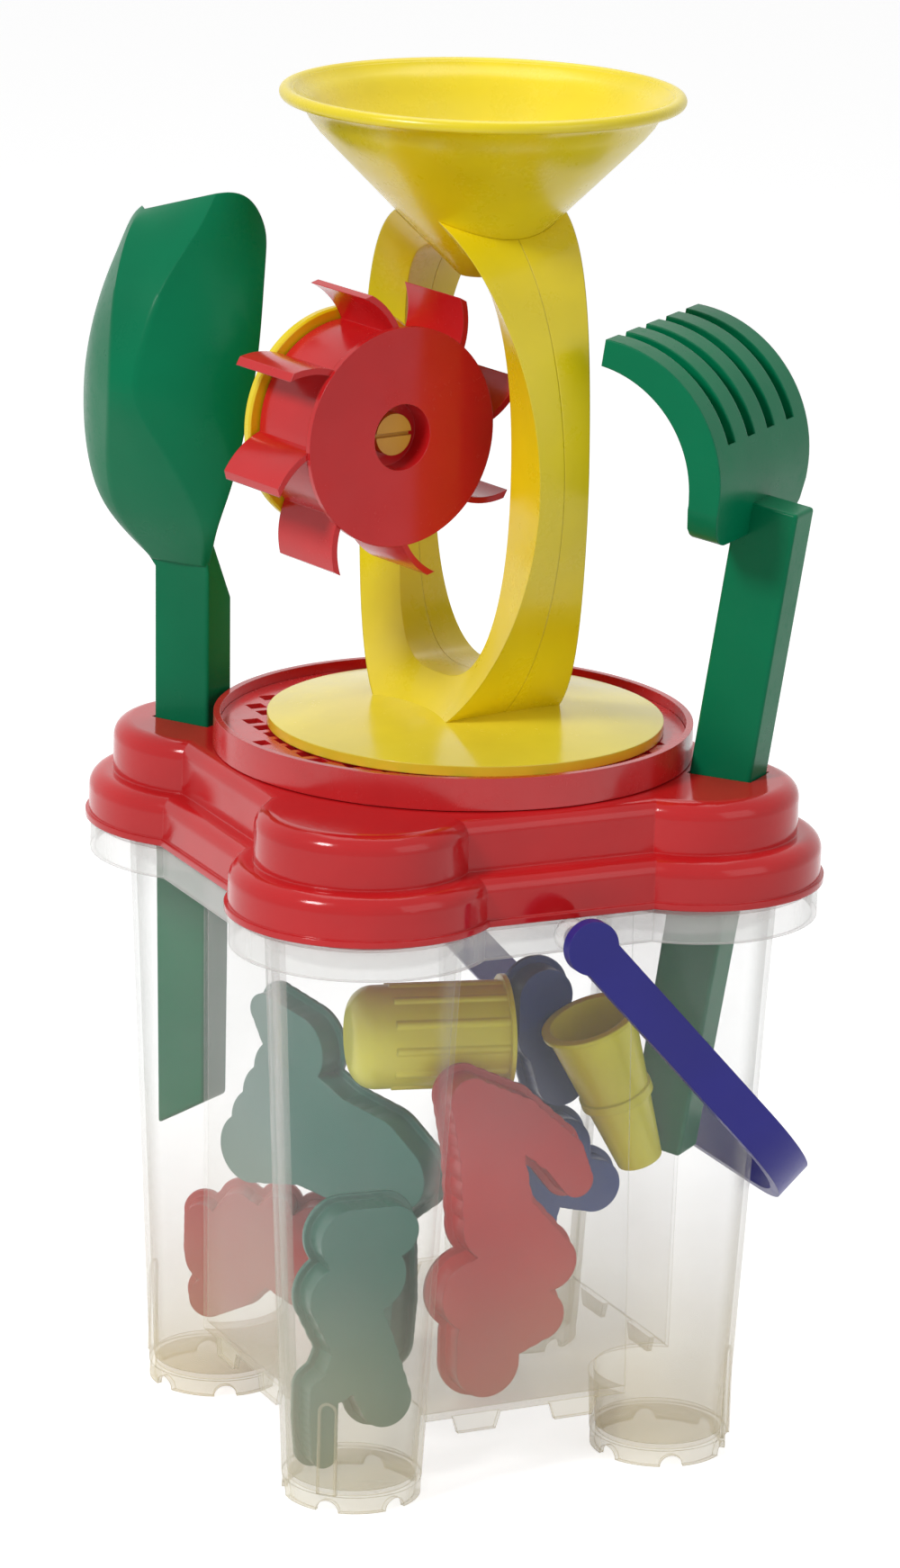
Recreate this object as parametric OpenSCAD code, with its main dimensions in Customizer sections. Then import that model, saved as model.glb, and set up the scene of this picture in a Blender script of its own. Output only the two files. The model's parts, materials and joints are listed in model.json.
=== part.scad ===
// Sand wheel toy set. A clear castle bucket with a bail carries a lobed lid, and
// the lid carries a sieve, a sand mill with a paddle wheel, a shovel and a rake.
// Eight hollow sand moulds lie in the bucket.
// The bucket's axis is the Z axis and its four towers stand on the plane z = 0.
// The front of the set is the side that faces -Y.

/* [Bucket] */
// Height of the bucket to the top of its band
bucket_h = 174.8; // [160:0.1:190]
// Distance of each tower's axis from the two middle planes
tower_pos = 49.5; // [48:0.1:50]
// Radius of a tower at its foot
tower_foot_r = 20; // [18.5:0.1:21]
// Radius of a tower at the top of the bucket
tower_top_r = 28.6; // [26:0.1:29]
// Distance of a flat wall from the middle, at the level of the tower feet
wall_foot_d = 60.5; // [59:0.1:61.5]
// Distance of a flat wall from the middle, at the top of the bucket
wall_top_d = 66.3; // [65:0.1:67]
// Thickness of the bucket's walls and floor
bucket_t = 1.6; // [1.2:0.1:2]
// Height of the flat walls' lower edge above the tower feet
wall_lift = 22; // [18:0.5:26]
// Depth of the battlements under the towers and walls
merlon_h = 5; // [3:0.1:6]
// Radius of the wavy notches under the towers
notch_r = 3.4; // [2.5:0.1:3.8]
// Number of wavy notches under each tower
notch_n = 6; // [4:1:8]
// Width of a merlon under a flat wall
merlon_w = 15; // [10:0.5:18]
// Width of a merlon's lower end, as a share of its width
merlon_low_share = 0.8; // [0.6:0.05:1]
// Distance of those merlons from the middle of their wall
merlon_pos = 15.5; // [12:0.5:18]
// Height of the band round the bucket's mouth
band_h = 9.8; // [8:0.1:12]
// How far the band lies inside the lid's outline
band_inset = 0.5; // [0.3:0.1:1.5]
// Width of the narrow loophole ribs on the towers
loop_w = 6; // [4:0.5:8]
// Height of the loophole ribs
loop_h = 28; // [20:1:34]
// How far a loophole rib stands out of its tower
loop_proud = 0.8; // [0.4:0.1:1.2]
// Height of the loopholes' lower end
loop_z = 5.5; // [4:0.5:12]

/* [Bail] */
// Distance from the pivot to the middle of the crossbar
bail_l = 118; // [112:0.5:122]
// Width of the bail's strap
bail_w = 12; // [9:0.5:13]
// Thickness of the bail's strap
bail_t = 3.6; // [3:0.1:4.5]
// Corner radius of the bail, on its outer side
bail_corner_r = 40; // [30:1:50]
// Radius of the round pivot ends
bail_end_r = 7.8; // [6.5:0.1:8]
// Depth of the pivot below the bucket's mouth
bail_drop = 4.6; // [4.5:0.1:5.8]
// Radius of the pivot studs
stud_r = 3; // [2.5:0.1:3.5]
// Length of the pivot studs
stud_l = 9; // [7:0.5:10]
// Radius of the ears that hold the studs
ear_r = 4.6; // [4.4:0.1:4.7]

/* [Lid] */
// Distance of each lobe's axis from the two middle planes
lobe_pos = 51.5; // [50.5:0.1:52]
// Radius of a lobe on the lower step
lobe_r = 37.8; // [37.5:0.1:38]
// Distance of the flat panels between the lobes from the middle
panel_d = 79.5; // [79:0.1:80]
// Height of the lower step
step_low_h = 14; // [12:0.1:15]
// Height of the upper step
step_up_h = 15; // [13:0.1:16]
// How far the upper step is set in
step_in = 7; // [6:0.1:7.5]
// Radius of the steps' top edges
step_round = 5; // [3:0.1:5.5]
// Share by which the panels' top edges are less round than the lobes'
round_less_share = 0.1; // [0.05:0.01:0.3]
// Wall thickness of the lid
lid_t = 2; // [1.6:0.1:2.4]
// How far the lip at the lid's lower edge stands out
lip_out = 1; // [0.8:0.1:1.2]
// Height of that lip
lip_h = 1.8; // [1.4:0.1:2.2]
// Depth of the rim that centres the lid in the bucket
rim_depth = 5; // [3:0.1:7]

/* [Sieve] */
// Outer radius of the sieve's collar above the lid
collar_r = 69.4; // [69:0.1:69.5]
// Height of the collar above the lid
collar_h = 9.4; // [8:0.1:11]
// Wall thickness of the collar
collar_t = 2; // [1.6:0.1:2.4]
// Width of the shoulder that rests on the lid
shoulder_w = 1.4; // [1:0.1:1.6]
// Depth of the collar below the lid's top
collar_down = 8; // [6:0.5:10]
// Depth of the sieve floor below the collar's upper edge
floor_down = 3; // [2.5:0.1:4]
// Thickness of the sieve floor
sieve_t = 2; // [1.6:0.1:2.5]
// Width of the ledge under the sieve floor
grid_ledge = 1.6; // [1:0.1:1.8]
// Width of a hole of the sieve
mesh_hole = 5; // [4:0.1:5.5]
// Spacing of the sieve's holes
mesh_pitch = 7.6; // [7:0.1:9]
// Radius of the pattern of holes
mesh_r = 65.5; // [62:0.1:66]

/* [Mill] */
// How far the mill stands off the bucket's axis
mill_x = 3.1; // [2:0.1:4]
// How far the mill stands in front of the bucket's axis
mill_y = 1.5; // [0:0.1:2]
// Turn of the mill about the vertical
mill_yaw = 10.3; // [5:0.1:15]
// Radius of the mill's base
base_r = 57.4; // [54:0.1:58]
// Height of the base at its edge
base_edge_h = 3; // [2.4:0.1:4]
// Height of the base's dome above its edge
base_dome_h = 5.5; // [4:0.1:7]
// Wall thickness of the base
base_t = 2; // [1.6:0.1:2.4]
// Half width of the hoop on its outer side
hoop_out_a = 44.2; // [42:0.1:46]
// Height of the funnel's rim above the hoop's top
funnel_over = 31.7; // [30:0.1:34]
// Depth of the hoop's lower end below the sieve floor
hoop_sink = 0.4; // [0:0.1:2]
// Half width of the hoop's opening
hoop_in_a = 26.2; // [25:0.1:27]
// How much lower the half height of the opening is than that of the hoop
hoop_end_t = 15.1; // [14:0.1:17]
// How far the middle of the opening lies above the middle of the hoop
hoop_in_up = 2.6; // [1:0.1:4]
// Width of the hoop's strap at mid height
hoop_w = 17; // [16:0.1:19]
// How much wider the strap is at the hoop's top and bottom
hoop_flare = 29; // [24:0.5:32]
// Width of the strap on the side of the opening, at mid height
hoop_in_w = 11.2; // [10:0.1:13]
// How much wider that side is at the hoop's top and bottom
hoop_in_flare = 17; // [14:0.5:20]
// Squareness of the hoop's outer oval, which is 2 for an ellipse
hoop_out_power = 1.9; // [1.7:0.1:2.4]
// Squareness of the hoop's opening
hoop_in_power = 3; // [2:0.1:3.5]
// Wall thickness of the two hollow hoop halves
hoop_t = 2; // [1.6:0.1:2.4]

/* [Funnel] */
// Radius of the funnel's rim
funnel_r = 57.5; // [54:0.1:58]
// Height of the rim above the sieve floor
funnel_h = 185.5; // [182:0.1:190]
// Height of the flared part under the rim
flare_h = 10; // [8:0.1:13]
// Radius where the flared part meets the cone
flare_r = 48.4; // [46:0.1:50]
// Radius half way up the flared part
brim_r = 51.8; // [50:0.1:53]
// Outer radius of the spout
spout_r = 5.4; // [5.3:0.1:6.5]
// Wall thickness of the funnel
funnel_t = 2; // [1.6:0.1:2.2]
// Height of the rolled lip
funnel_lip_h = 2.6; // [2:0.1:3.5]

/* [Wheel] */
// Sideways place of the wheel's axis from the mill's axis
wheel_x = 34.8; // [34:0.1:37]
// Height of the wheel's axis above the sieve floor
wheel_h = 91.4; // [90:0.1:93]
// Radius of the wheel at the blade tips
tip_r = 42.5; // [41:0.1:43]
// Radius of the front disc
disc_r = 31.4; // [30:0.1:32]
// Radius of the drum
drum_r = 29.4; // [28:0.1:30]
// Thickness of the wheel's walls
wheel_t = 2; // [1.6:0.1:2.4]
// Length of the wheel along its axis
wheel_w = 28; // [26:0.1:30]
// Turn of the blades on the drum
blade_turn = 1.6; // [0:0.1:45]
// Number of blades
blade_n = 8; // [6:1:10]
// Radius of a blade's curve
blade_curve_r = 22.4; // [20:0.1:25]
// Thickness of a blade
blade_t = 1.8; // [1.4:0.1:2.4]
// Radius of the hub's recess
recess_r = 9.5; // [8:0.1:10]
// Depth of the hub's recess
recess_d = 7.5; // [6:0.1:9]
// Radius of the axle pin's shaft
pin_r = 3; // [2.6:0.1:3.4]
// Radius of the axle pin's head
pin_head_r = 6; // [5:0.1:6.5]
// Thickness of the axle pin's head
pin_head_t = 3; // [2:0.1:3.5]
// Width of the slot in the pin's head
pin_slot_w = 1.2; // [0.8:0.1:1.6]
// Distance of a blade's centre of curve from the wheel's axis
blade_centre = 30.5; // [28:0.1:32]
// Gap between the wheel and the guard plate
guard_gap = 0.8; // [0.5:0.1:2]
// Radius of the round guard plate behind the wheel
guard_r = 32.5; // [30:0.1:34]
// Thickness of the guard plate
guard_t = 3; // [2.4:0.1:3.6]
// Height of the arm behind the guard plate, as a share of the plate's radius
arm_share = 0.6; // [0.4:0.05:0.8]

/* [Tools] */
// Height of the shovel's crank, as a multiple of the handle's depth
crank_share = 1.4; // [1.1:0.05:1.6]
// How far the crank's top reaches forward and starts, as shares of the scoop's depth
crank_out_share = 0.45; // [0.4:0.01:0.5]
crank_in_share = 0.2; // [0.1:0.01:0.25]
// Width of the tool handles at the lid
grip_w = 19; // [17:0.1:19.5]
// Width of the tool handles at their lower end
grip_end_w = 16.6; // [15:0.1:17]
// Depth of the tool handles
grip_d = 12.6; // [11:0.1:13]
// Turn of the shovel about the vertical
shovel_yaw = -58; // [-60:1:-54]
// Outward lean of the shovel
shovel_lean = 1; // [0:0.1:1.4]
// Sideways place of the shovel at the lid's top
shovel_x = -58.1; // [-58.4:0.1:-57.5]
// Place of the shovel along Y at the lid's top
shovel_y = 55.6; // [55:0.1:56]
// Height of the shovel's lower end
shovel_end_z = 79; // [77:0.5:95]
// Slant of the handle's lower end
end_slant = -30; // [-35:1:0]
// Length of the shovel's handle above the lid
shovel_neck_h = 50; // [46:0.5:56]
// Half width of the scoop
scoop_w2 = 31; // [28:0.1:31]
// Height of the scoop's tip above the lid
scoop_top_h = 156; // [150:0.5:160]
// Height of the scoop's widest place above the lid
scoop_mid_h = 102; // [96:0.5:108]
// Depth of the scoop
scoop_d = 43; // [38:0.5:44]
// Radius of the heel of the scoop
scoop_r = 5; // [3:0.5:7]
// Wall thickness of the scoop
scoop_t = 2; // [1.6:0.1:2.6]
// Turn of the rake about the vertical
rake_yaw = -52; // [-54:1:-50]
// Outward lean of the rake
rake_lean = 8; // [6:0.5:9]
// Sideways place of the rake at the lid's top
rake_x = 62.9; // [62.6:0.1:63.2]
// Place of the rake along Y at the lid's top
rake_y = -51.8; // [-52.2:0.1:-51.4]
// Height of the rake's lower end
rake_end_z = 88; // [84:0.5:100]
// Length of the rake's handle above the lid
rake_neck_h = 81.5; // [74:0.5:86]
// Width of the rake's head
rake_w = 62; // [54:0.5:64]
// Number of tines
tine_n = 5; // [4:1:6]
// Gap between two tines
tine_gap = 5; // [3.5:0.1:6]
// Radius of the rake head's outer curve
rake_out_r = 39.2; // [37:0.1:41]
// Place of the outer curve's centre from the handle's axis, and its height above the lid
rake_out_x = -43.5; // [-45:0.1:-42]
rake_out_z = 83.9; // [82:0.1:86]
// Place of the inner curve's centre from the handle's axis, and its height above the lid
rake_in_x = -47.6; // [-49:0.1:-46]
rake_in_z = 81.1; // [80:0.1:83]
// Radius of the rake head's inner curve
rake_in_r = 34.1; // [32:0.1:36]
// Place of the tine tips on the head's outer curve
rake_reach = -2; // [-4:0.1:2]

/* [Moulds] */
// Wall thickness of the sand moulds
mould_t = 1.4; // [1.1:0.1:1.8]
// Width of the flange round a mould's open side
mould_flange = 2; // [1.5:0.1:2.5]
// Depth of the flat moulds
mould_d = 9; // [8:0.5:10]

/* [Fits] */
// Gap between a resting piece and its seat
seat_gap = 0.3; // [0.2:0.05:0.4]
// Radial clearance of turning fits
run_fit = 0.1; // [0.06:0.01:0.1]
// Clearance round a handle in its slot
slot_fit = 0.4; // [0.3:0.05:0.5]
// Gap between pieces that are fixed to each other
join_gap = 0.1; // [0.05:0.01:0.15]

/* [Hidden] */
$fn = 72;
// Overrun of every cut
cut = 1;
// Number of sections round the hoop
hoop_sections = 56;

// Heights that the pieces share
bail_z = bucket_h - bail_drop;
lid_z = bucket_h + seat_gap;
lid_top = lid_z + step_low_h + step_up_h;
collar_top = lid_top + seat_gap + collar_h;
sieve_top = collar_top - floor_down;
mill_z = sieve_top + seat_gap;
funnel_z = sieve_top + funnel_h;
hoop_top_z = funnel_z - funnel_over;
hoop_low_z = sieve_top - hoop_sink;
hoop_mid_z = (hoop_top_z + hoop_low_z) / 2;
wheel_z = sieve_top + wheel_h;

// Half heights of the hoop and of its opening
hoop_out_b = (hoop_top_z - hoop_low_z) / 2;
hoop_in_b = hoop_out_b - hoop_end_t;

// Sizes of the bucket at a given height
function tower_r(z) = tower_foot_r + (tower_top_r - tower_foot_r) * z / bucket_h;
function wall_d(z) = wall_foot_d + (wall_top_d - wall_foot_d) * z / bucket_h;

// Four copies at the corners of a square, each with its X axis towards the middle
module corners(pos) {
  for (turn = [45 : 90 : 315])
    rotate([0, 0, turn]) translate([-pos * sqrt(2), 0, 0]) children();
}

// Slab wider than the part, to trim several pieces to one plane
module trim(z0, h) {
  translate([-2 * wall_top_d, -2 * wall_top_d, z0]) cube([4 * wall_top_d, 4 * wall_top_d, h]);
}

// Block that tapers with the flat walls between two heights, set in by a wall
module wall_block(inset, z0, z1) {
  d0 = wall_d(z0) - inset;
  d1 = wall_d(z1) - inset;
  intersection_for (turn = [0, 90])
    rotate([90, 0, turn])
      linear_extrude(height = 3 * wall_top_d, center = true)
        polygon([[-d0, z0], [d0, z0], [d1, z1], [-d1, z1]]);
}

module tower_cones(inset, z0, z1) {
  corners(tower_pos)
    translate([0, 0, z0])
      cylinder(h = z1 - z0, r1 = tower_r(z0) - inset, r2 = tower_r(z1) - inset);
}

// Plain slab with four round lobes
module lobed(r, d, z0, h) {
  translate([0, 0, z0]) linear_extrude(height = h) {
    corners(lobe_pos) circle(r = r);
    square([2 * lobe_pos, 2 * d], center = true);
    square([2 * d, 2 * lobe_pos], center = true);
  }
}

// Side view of half a step, with its rounded top edge
module step_side(half, h, edge_r) {
  square([half, h - edge_r]);
  square([half - edge_r, h]);
  translate([half - edge_r, h - edge_r]) circle(r = edge_r);
}

// The panels' top edges are a little less round than the lobes', so that the two
// roundings start at different heights
panel_round = step_round * (1 - round_less_share);

// Lobed slab with rounded top edges
module lobed_step(inset, z0, h) {
  translate([0, 0, z0]) {
    corners(lobe_pos)
      rotate_extrude() intersection() {
        step_side(lobe_r - inset, h, step_round);
        square([lobe_r, h]);
      }
    for (turn = [0, 90]) rotate([90, 0, turn])
      linear_extrude(height = 2 * lobe_pos, center = true) {
        step_side(panel_d - inset, h, panel_round);
        mirror([1, 0]) step_side(panel_d - inset, h, panel_round);
      }
  }
}

// Bucket

// Space inside the bucket: four towers down to their floors, and the room between the walls
module bucket_hollow() {
  tower_cones(bucket_t, merlon_h + bucket_t, bucket_h + cut);
  wall_block(bucket_t, wall_lift + bucket_t, bucket_h + cut);
}

// Plug that fits the mouth between two heights, set in from the bucket's inner faces
module mouth(extra, z0, z1) {
  tower_cones(bucket_t + extra, z0, z1);
  wall_block(bucket_t + extra, z0, z1);
}

module wall_merlon() {
  top_w = merlon_w / 2;
  low_w = top_w * merlon_low_share;
  for (turn = [0, 90, 180, 270], side = [-1, 1])
    rotate([0, 0, turn])
      translate([side * merlon_pos, -wall_d(wall_lift) + bucket_t, wall_lift])
        rotate([90, 0, 0])
          linear_extrude(height = bucket_t)
            polygon([
              [-top_w, bucket_t], [-top_w, 0], [-low_w, -merlon_h],
              [low_w, -merlon_h], [top_w, 0], [top_w, bucket_t]
            ]);
}

module tower_feet() {
  corners(tower_pos) difference() {
    cylinder(h = merlon_h + bucket_t, r = tower_foot_r);
    translate([0, 0, -cut]) cylinder(h = merlon_h + cut, r = tower_foot_r - bucket_t);
    for (i = [0 : notch_n - 1])
      rotate([90, 0, (i + 0.5) * 360 / notch_n])
        translate([0, 0, tower_foot_r / 2]) cylinder(h = tower_foot_r / 2 + cut, r = notch_r);
  }
}

module loopholes() {
  for (turn = [0, 90, 180, 270])
    rotate([0, 0, turn])
      translate([-tower_pos, -tower_pos, 0])
        rotate([0, 0, -45])
          translate([0, -tower_foot_r - loop_proud, loop_z])
            rotate([-90, 0, 0])
              linear_extrude(height = tower_foot_r / 2)
                translate([0, -loop_h]) {
                  translate([-loop_w / 2, loop_w / 2]) square([loop_w, loop_h - loop_w / 2]);
                  translate([0, loop_w / 2]) circle(d = loop_w);
                }
}

module ears() {
  start = panel_d - band_inset - bucket_t;
  for (side = [-1, 1]) translate([0, side * start, bail_z])
    rotate([-side * 90, 0, 0]) cylinder(h = ear_end - start, r = ear_r);
}

// The upright pieces run past the bucket's top and are trimmed there
module bucket_outside() {
  band_z = bucket_h - band_h;
  difference() {
    union() {
      tower_cones(0, merlon_h, bucket_h + cut);
      tower_feet();
      wall_block(0, wall_lift, bucket_h + cut);
      wall_merlon();
      loopholes();
      difference() {
        lobed(lobe_r - band_inset, panel_d - band_inset, band_z, band_h + cut);
        lobed(lobe_r - band_inset - bucket_t, panel_d - band_inset - bucket_t,
          band_z - cut, band_h - bucket_t + cut);
      }
      ears();
    }
    trim(bucket_h, 2 * cut);
  }
}

module bucket() {
  color("whitesmoke", 0.5) difference() {
    bucket_outside();
    union() bucket_hollow();
    for (side = [-1, 1]) translate([0, side * (ear_end - stud_l - seat_gap), bail_z])
      rotate([-side * 90, 0, 0]) cylinder(h = stud_l + cut, r = stud_r + run_fit);
  }
}

// Bail

// The ears end clear of the lid's widest place
ear_end = lobe_pos + lobe_r + lip_out + seat_gap;
bail_in = ear_end + seat_gap;
bail_out = bail_in + bail_t;

// Angle from straight down at which the crossbar meets the towers, found in a few
// rounds from a first angle
function bail_reach(a) =
  tower_pos + tower_r(bail_z - bail_l * cos(a)) + seat_gap
  + bail_w / 2 * cos(a) + bail_t / 2 * sin(a);
function bail_rest(a, n) = n == 0 ? a : bail_rest(asin(bail_reach(a) / bail_l), n - 1);
bail_first_angle = 38;
bail_rounds = 12;
bail_angle = bail_rest(bail_first_angle, bail_rounds);

module bail_sheet(half, r, h) {
  translate([0, 0, -h / 2]) {
    translate([-half, 0, 0]) cube([2 * half, bail_l + bail_t / 2 - r, h]);
    translate([-half + r, 0, 0]) cube([2 * half - 2 * r, bail_l + bail_t / 2, h]);
    for (side = [-1, 1])
      translate([side * (half - r), bail_l + bail_t / 2 - r, 0]) cylinder(h = h, r = r);
  }
}

module bail() {
  color("darkslateblue")
    translate([0, 0, bail_z]) rotate([0, -bail_angle, 0]) {
      rotate([0, 0, 90]) rotate([-90, 0, 0]) difference() {
        bail_sheet(bail_out, bail_corner_r, bail_w);
        translate([0, -bail_t, 0])
          bail_sheet(bail_in, bail_corner_r - bail_t, bail_w + 2 * cut);
        translate([-bail_in, -bail_t - cut, -bail_w]) cube([2 * bail_in, 2 * bail_t, 2 * bail_w]);
      }
      for (side = [-1, 1]) {
        translate([0, side * bail_in, 0])
          rotate([-side * 90, 0, 0]) cylinder(h = bail_t, r = bail_end_r);
        translate([0, side * (ear_end - stud_l), 0])
          rotate([-side * 90, 0, 0]) cylinder(h = stud_l + seat_gap + bail_t / 2, r = stud_r);
      }
    }
}

// Places of the two tools. The frame's origin is on the handle at the lid's top.

module at_shovel() {
  translate([shovel_x, shovel_y, lid_top])
    rotate([0, 0, shovel_yaw]) rotate([0, -shovel_lean, 0]) children();
}

module at_rake() {
  translate([rake_x, rake_y, lid_top])
    rotate([0, 0, rake_yaw]) rotate([0, rake_lean, 0]) children();
}

// Handle that narrows below the lid, from its lower end to its neck
module grip(down, up, extra = 0) {
  w = grip_w / 2 + extra;
  low = w - (grip_w - grip_end_w) / 2;
  d = grip_d + 2 * extra;
  translate([0, d / 2, 0]) rotate([90, 0, 0])
    linear_extrude(height = d)
      polygon([[-low, -down], [low, -down], [w, 0], [w, up], [-w, up], [-w, 0]]);
}

// Lid

module lid() {
  hole_r = collar_r - shoulder_w + join_gap;
  up_h = step_low_h + step_up_h;
  color("crimson") difference() {
    difference() {
      union() {
        lobed_step(0, lid_z, step_low_h);
        lobed_step(step_in, lid_z, up_h);
        lobed(lobe_r + lip_out, panel_d + lip_out, lid_z, lip_h);
        mouth(slot_fit, lid_z - rim_depth - cut, lid_z + lip_h / 2);
      }
      trim(lid_z - rim_depth - 2 * cut, 2 * cut);
    }
    lobed_step(lid_t, lid_z + lid_t, step_low_h - 2 * lid_t);
    lobed_step(step_in + lid_t, lid_z + lid_t, up_h - 2 * lid_t);
    mouth(slot_fit + lid_t, lid_z - rim_depth - 2 * cut, lid_z + 2 * lid_t);
    translate([0, 0, lid_top - 2 * lid_t]) cylinder(h = 3 * lid_t, r = hole_r);
    at_shovel() grip(lid_top - shovel_end_z, 4 * lid_t, slot_fit);
    at_rake() grip(lid_top - rake_end_z, 4 * lid_t, slot_fit);
  }
}

// Sieve

module mesh_holes() {
  n = ceil(mesh_r / mesh_pitch);
  for (i = [-n : n], j = [-n : n])
    if (norm([abs(i) + 0.5, abs(j) + 0.5]) * mesh_pitch < mesh_r)
      translate([i * mesh_pitch, j * mesh_pitch]) square(mesh_hole, center = true);
}

module sieve() {
  low_r = collar_r - shoulder_w;
  inner_r = collar_r - collar_t;
  color("firebrick") difference() {
    union() {
      translate([0, 0, lid_top + seat_gap]) cylinder(h = collar_h, r = collar_r);
      translate([0, 0, lid_top - collar_down])
        cylinder(h = collar_down + seat_gap + collar_t, r = low_r);
    }
    translate([0, 0, sieve_top - sieve_t - join_gap]) cylinder(h = 2 * collar_h, r = inner_r);
    translate([0, 0, lid_top - collar_down - cut])
      cylinder(h = 2 * collar_down + cut, r = inner_r - grid_ledge);
  }
}

// The grid lies on a ledge inside the collar
module sieve_grid() {
  color("crimson") difference() {
    translate([0, 0, sieve_top - sieve_t]) cylinder(h = sieve_t, r = collar_r - collar_t - join_gap);
    translate([0, 0, sieve_top - sieve_t - cut]) linear_extrude(height = sieve_t + 2 * cut) mesh_holes();
  }
}

// Mill. Its frame has the wheel's axis along Y and the strap's width along X.

module at_mill() {
  translate([mill_x, -mill_y, 0]) rotate([0, 0, mill_yaw]) children();
}

module dome(r, h, z0) {
  ball_r = (r * r + h * h) / (2 * h);
  intersection() {
    translate([0, 0, z0 + h - ball_r]) sphere(r = ball_r, $fn = 360);
    translate([0, 0, z0]) cylinder(h = h + cut, r = r);
  }
}

module mill_base_body(inset) {
  translate([0, 0, mill_z]) cylinder(h = base_edge_h - inset, r = base_r - inset);
  dome(base_r - inset, base_dome_h, mill_z + base_edge_h - inset);
}

module mill_base() {
  color("gold") at_mill() difference() {
    mill_base_body(0);
    translate([0, 0, -cut]) mill_base_body(base_t);
    translate([0, 0, mill_z - cut]) cylinder(h = 2 * cut, r = base_r - base_t);
  }
}

// Point of an oval that is squarer than an ellipse when the power is above 2
function oval(a, b, power, turn) =
  let (c = cos(turn), s = sin(turn))
    [a * sign(c) * pow(abs(c), 2 / power), b * sign(s) * pow(abs(s), 2 / power)];

// Half width of the strap at a share of the hoop's half height
function strap_w2(width, flare, share) = width / 2 + flare / 2 * share * share;

// One half of the strap, from the parting plane to one side, as a ring of sections
module hoop_ring(side, inset, from) {
  n = hoop_sections;
  points = [
    for (i = [0 : n - 1])
      let (
        turn = 360 * (i + 0.5) / n,
        o = oval(hoop_out_a - inset, hoop_out_b - inset, hoop_out_power, turn),
        q = oval(hoop_in_a + inset, hoop_in_b + inset, hoop_in_power, turn),
        z = q[1] + hoop_in_up,
        wide = strap_w2(hoop_w, hoop_flare, o[1] / hoop_out_b) - inset,
        narrow = strap_w2(hoop_in_w, hoop_in_flare, z / hoop_out_b) - inset
      )
        each [
          [side * from, o[0], o[1]], [side * wide, o[0], o[1]],
          [side * narrow, q[0], z], [side * from, q[0], z]
        ]
  ];
  faces = [
    for (i = [0 : n - 1], k = [0 : 3])
      let (j = (i + 1) % n, m = (k + 1) % 4, a = 4 * i + k, b = 4 * i + m, c = 4 * j + m, d = 4 * j + k)
        each side > 0 ? [[a, b, c], [a, c, d]] : [[c, b, a], [d, c, a]]
  ];
  polyhedron(points = points, faces = faces);
}

// Solid cone with the funnel's outer shape, grown by a gap
module funnel_body(grow) {
  rotate_extrude()
    polygon([
      [0, spout_z], [spout_r + grow, spout_z], [flare_r + grow, funnel_z - flare_h],
      [brim_r + grow, funnel_z - flare_h / 2],
      [funnel_r + grow, funnel_z - funnel_lip_h], [funnel_r + grow, funnel_z], [0, funnel_z]
    ]);
}

// The cone runs at 45 degrees from the flare to the spout
spout_z = funnel_z - flare_h - (flare_r - spout_r);

module hoop_half(side) {
  difference() {
    translate([0, 0, hoop_mid_z]) difference() {
      hoop_ring(side, 0, join_gap / 2);
      hoop_ring(side, hoop_t, -cut);
    }
    mill_base_body(-join_gap);
    translate([0, 0, mill_z - base_edge_h]) cylinder(h = 2 * base_edge_h, r = base_r - base_t);
    funnel_body(join_gap);
  }
}

// Place of the guard plate's front along the mill's Y axis
guard_y = wheel_w / 2 + guard_gap;

module hoop_half_left() {
  arm_h = guard_r * arm_share;
  arm_y = guard_y + guard_t;
  leg_y = hoop_in_a + 2 * hoop_t;
  boss_r = 2 * pin_r + hoop_t;
  color("yellow") at_mill() {
    difference() {
      union() {
        hoop_half(-1);
        translate([-wheel_x, guard_y, wheel_z]) rotate([-90, 0, 0])
          cylinder(h = guard_t, r = guard_r);
        translate([-wheel_x, guard_y, wheel_z]) rotate([-90, 0, 0])
          cylinder(h = leg_y - guard_y, r = boss_r);
        translate([-wheel_x, arm_y - cut, wheel_z - arm_h / 2])
          cube([wheel_x - hoop_in_w / 2 + hoop_t, leg_y - arm_y + cut, arm_h]);
      }
      translate([-wheel_x, guard_y - cut, wheel_z]) rotate([-90, 0, 0])
        cylinder(h = leg_y - guard_y - hoop_t + cut, r = pin_r + join_gap / 4);
    }
  }
}

module hoop_half_right() {
  color("gold") at_mill() hoop_half(1);
}

module funnel() {
  color("yellow") at_mill() difference() {
    funnel_body(0);
    rotate_extrude()
      polygon([
        [0, spout_z - cut], [spout_r - funnel_t, spout_z - cut],
        [spout_r - funnel_t, spout_z + funnel_t / 2],
        [flare_r - funnel_t, funnel_z - flare_h + funnel_t / 2],
        [brim_r - funnel_t, funnel_z - flare_h / 2 + funnel_t / 2],
        [funnel_r - funnel_t, funnel_z - funnel_lip_h + funnel_t / 2],
        [funnel_r - funnel_t, funnel_z + cut], [0, funnel_z + cut]
      ]);
  }
}

// Wheel and its pin, with the axis along Y and the front at -Y

module at_wheel() {
  at_mill() translate([-wheel_x, 0, wheel_z]) rotate([90, 0, 0]) children();
}

module axle_pin() {
  head_z = wheel_w / 2 - recess_d + seat_gap;
  tail_z = -guard_y - guard_t;
  color("goldenrod") at_wheel() difference() {
    union() {
      translate([0, 0, head_z]) cylinder(h = pin_head_t, r = pin_head_r);
      translate([0, 0, tail_z]) cylinder(h = head_z - tail_z + pin_head_t / 2, r = pin_r);
    }
    translate([-pin_head_r - cut, -pin_slot_w / 2, head_z + pin_head_t / 2])
      cube([2 * pin_head_r + 2 * cut, pin_slot_w, pin_head_t]);
  }
}

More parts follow.
